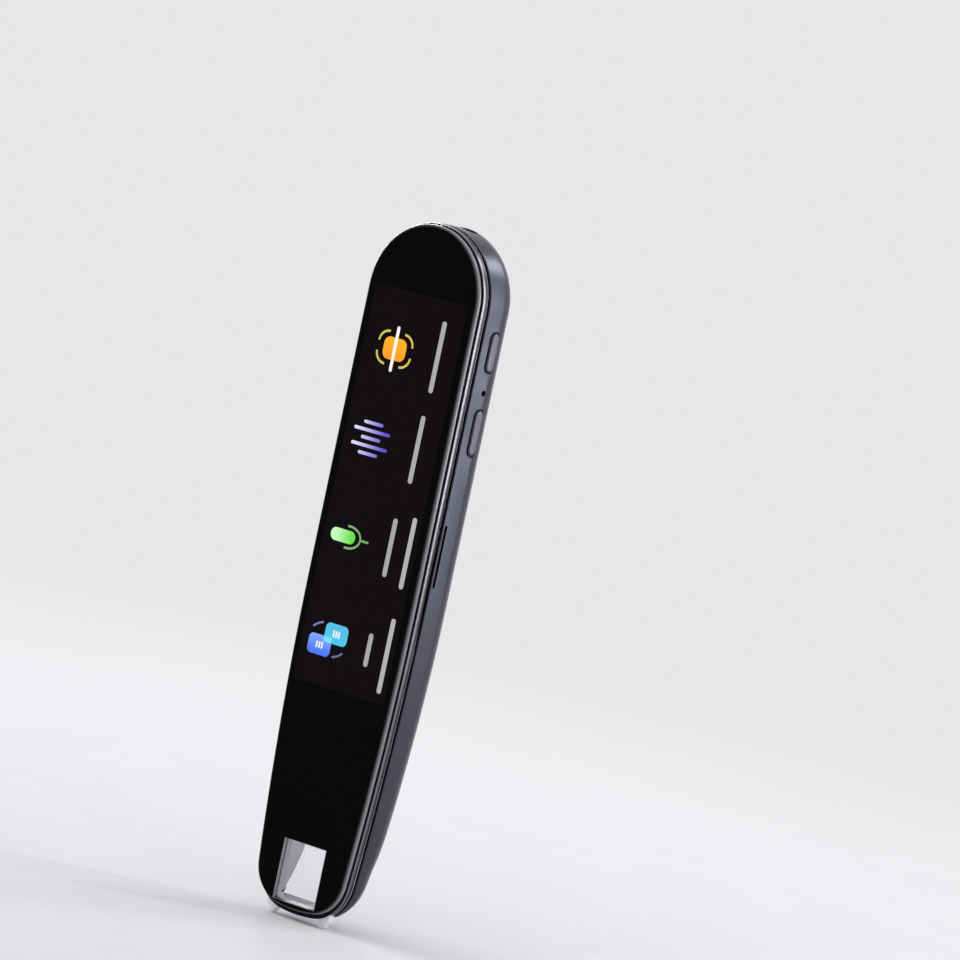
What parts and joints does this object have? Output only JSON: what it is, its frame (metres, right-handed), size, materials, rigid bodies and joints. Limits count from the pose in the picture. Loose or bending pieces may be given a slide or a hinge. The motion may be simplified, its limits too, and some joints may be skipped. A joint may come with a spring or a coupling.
{
  "type": "handheld translator",
  "caption": "Slim handheld scanning translator with a full-length cover glass, side buttons, a speaker plate and a sprung press tip under a see-through nose.",
  "frame": {"origin": "on the ground under the middle of the press tip, with the pen standing on its two feet", "axes": "+Z along the pen from the tip to the top, -Y out of the cover glass, +X out of the side with the buttons"},
  "size_m": [0.0319, 0.014, 0.1511],
  "materials": {
    "glass_black": "polished black cover glass with a softly rounded edge",
    "glass_clear": "polished clear window",
    "screen": "lit screen, near black",
    "housing": "satin space-grey coating",
    "frame": "bright satin frame",
    "plate": "finely brushed plate with a bright chamfer",
    "button": "satin grey button",
    "foot": "white hard-wearing plastic",
    "black_plastic": "black moulded plastic",
    "grey_plastic": "pale grey moulded plastic",
    "white_plastic": "white plastic",
    "adhesive": "black foam adhesive",
    "tape": "pale double-sided tape",
    "circuit_board": "green solder mask",
    "flex": "amber flexible circuit",
    "chip": "black moulded chip",
    "steel": "bright stamped or drawn steel",
    "pouch": "laminate pouch",
    "lead": "red insulated wires and plug",
    "lamp": "clear-topped lamp",
    "lens": "coated lens"
  },
  "bodies": {
    "body": {"cover_glass": "glass_black", "front_window": "glass_clear", "glass_adhesive": "adhesive", "display_panel": "screen", "backlight": "grey_plastic", "display_flex": "flex", "mid_frame": "frame", "band_insert": "grey_plastic", "rear_housing": "housing", "rear_window": "glass_clear", "speaker_plate": "plate", "speaker_mesh": "black_plastic", "speaker_gasket": "adhesive", "speaker": "black_plastic", "housing_screws": "steel", "main_board": "circuit_board", "board_screws": "steel", "processor": "chip", "memory_chip": "chip", "shield_can": "steel", "usb_port": "steel", "usb_tongue": "black_plastic", "card_socket": "steel", "side_board": "circuit_board", "power_switch": "white_plastic", "menu_switch": "white_plastic", "microphone": "steel", "battery": "pouch", "battery_tape": "tape", "battery_lead": "lead", "scan_hood": "grey_plastic", "light_board": "circuit_board", "lamps": "lamp", "camera_module": "black_plastic", "camera_lens": "lens", "scan_flex": "flex", "tip_switch": "white_plastic", "tip_springs": "steel"},
    "power_key": {"power_button": "button"},
    "menu_key": {"menu_button": "button"},
    "press_tip": {"tip_carrier": "grey_plastic", "tip_feet": "foot"}
  },
  "joints": [
    {"name": "power_press", "type": "slide", "parent": "body", "child": "power_key", "axis": [-1, 0, 0], "range_m": [0, 0.0004], "stiffness_N_per_m": 1200, "springref_m": -0.0005},
    {"name": "menu_press", "type": "slide", "parent": "body", "child": "menu_key", "axis": [-1, 0, 0], "range_m": [0, 0.0004], "stiffness_N_per_m": 1200, "springref_m": -0.0005},
    {"name": "tip_press", "type": "slide", "parent": "body", "child": "press_tip", "axis": [0, 0, 1], "range_m": [0, 0.0007], "stiffness_N_per_m": 500, "springref_m": -0.002, "deforming": ["tip_springs"]}
  ]
}
